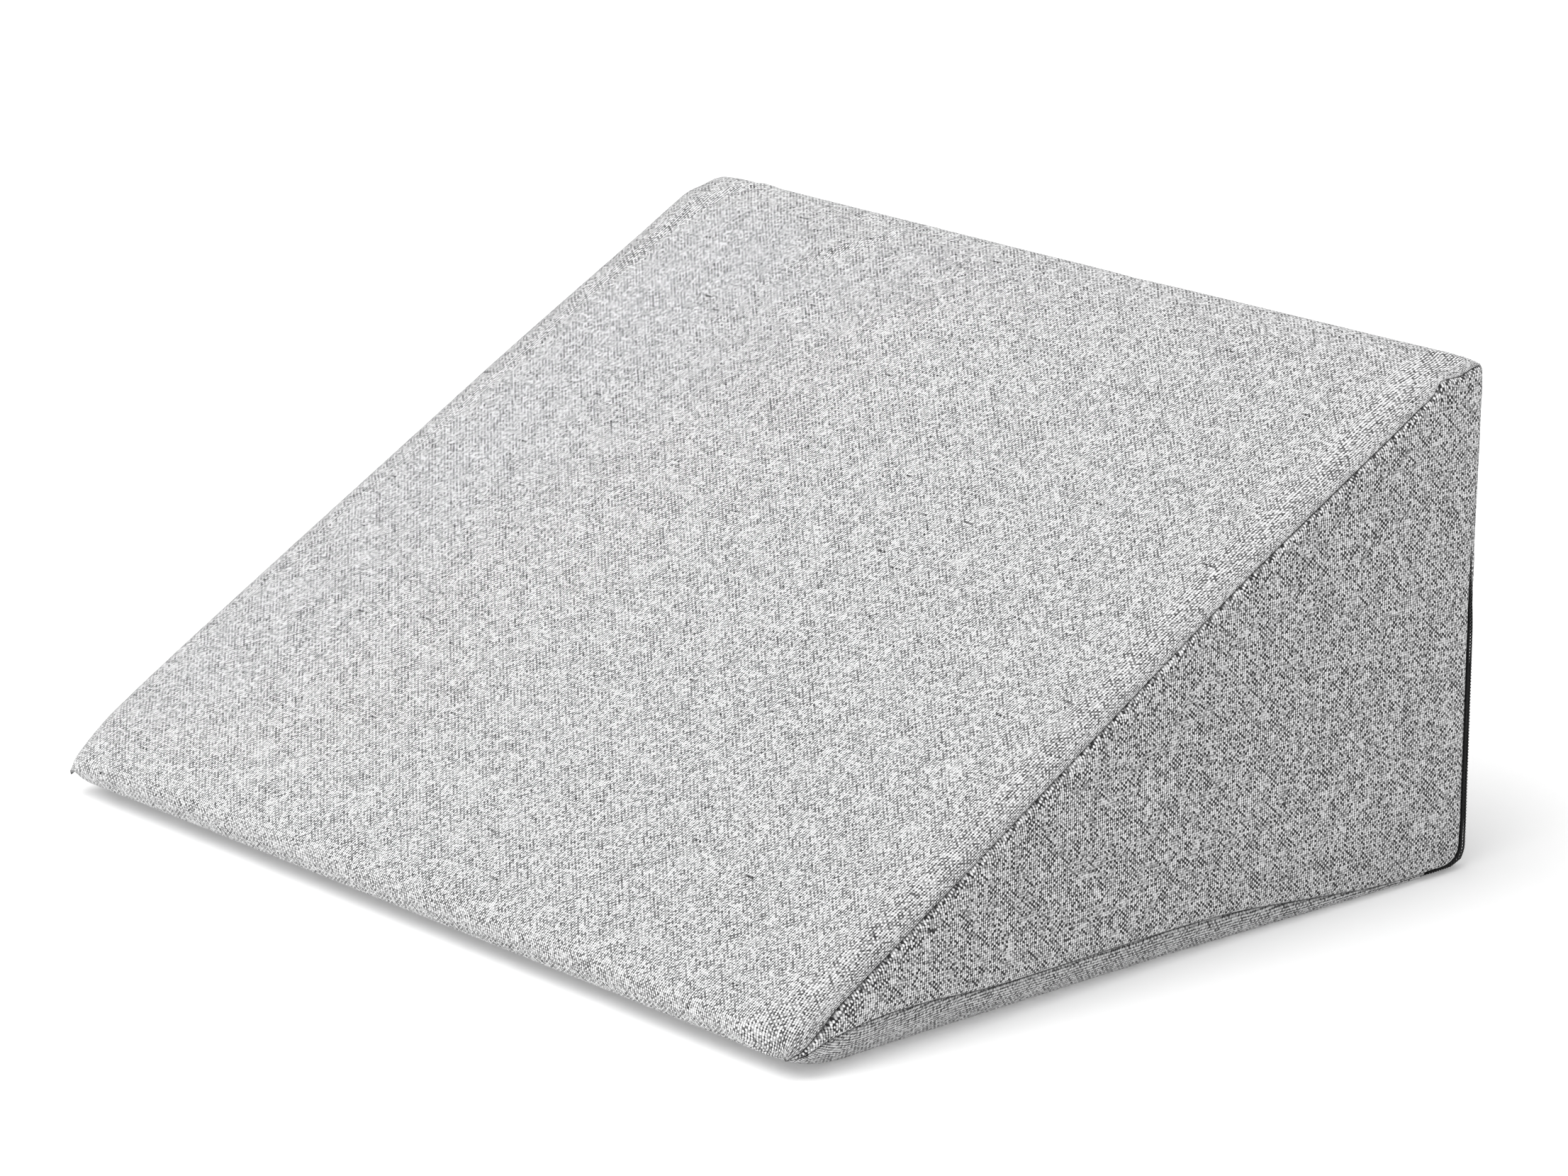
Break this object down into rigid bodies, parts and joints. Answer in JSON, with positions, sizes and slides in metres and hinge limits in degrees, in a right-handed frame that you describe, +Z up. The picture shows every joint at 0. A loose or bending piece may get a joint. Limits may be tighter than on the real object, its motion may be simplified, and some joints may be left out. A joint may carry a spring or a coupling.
{
  "type": "wedge body positioning pillow",
  "caption": "Foam-filled wedge cushion in grey melange cloth, thin front edge and tall back, with a black zip along the back corner of the cover.",
  "frame": {"origin": "middle of the footprint, on the surface the pillow rests on", "axes": "+X along the width, -Y the thin front edge, +Y the tall back, +Z up"},
  "size_m": [0.5084, 0.4077, 0.2315],
  "materials": {
    "cover_cloth": "plain-weave melange upholstery cloth, matt",
    "zip_tape": "black woven tape, matt",
    "zip_coil": "black nylon coil, slight sheen",
    "zip_slider": "black lacquered metal, satin"
  },
  "bodies": {
    "root": {"cushion": "cover_cloth", "zip_tape_side": "zip_tape", "zip_tape_back": "zip_tape", "zip_coil": "zip_coil", "zip_slider": "zip_slider", "zip_pull": "zip_slider"}
  },
  "joints": []
}
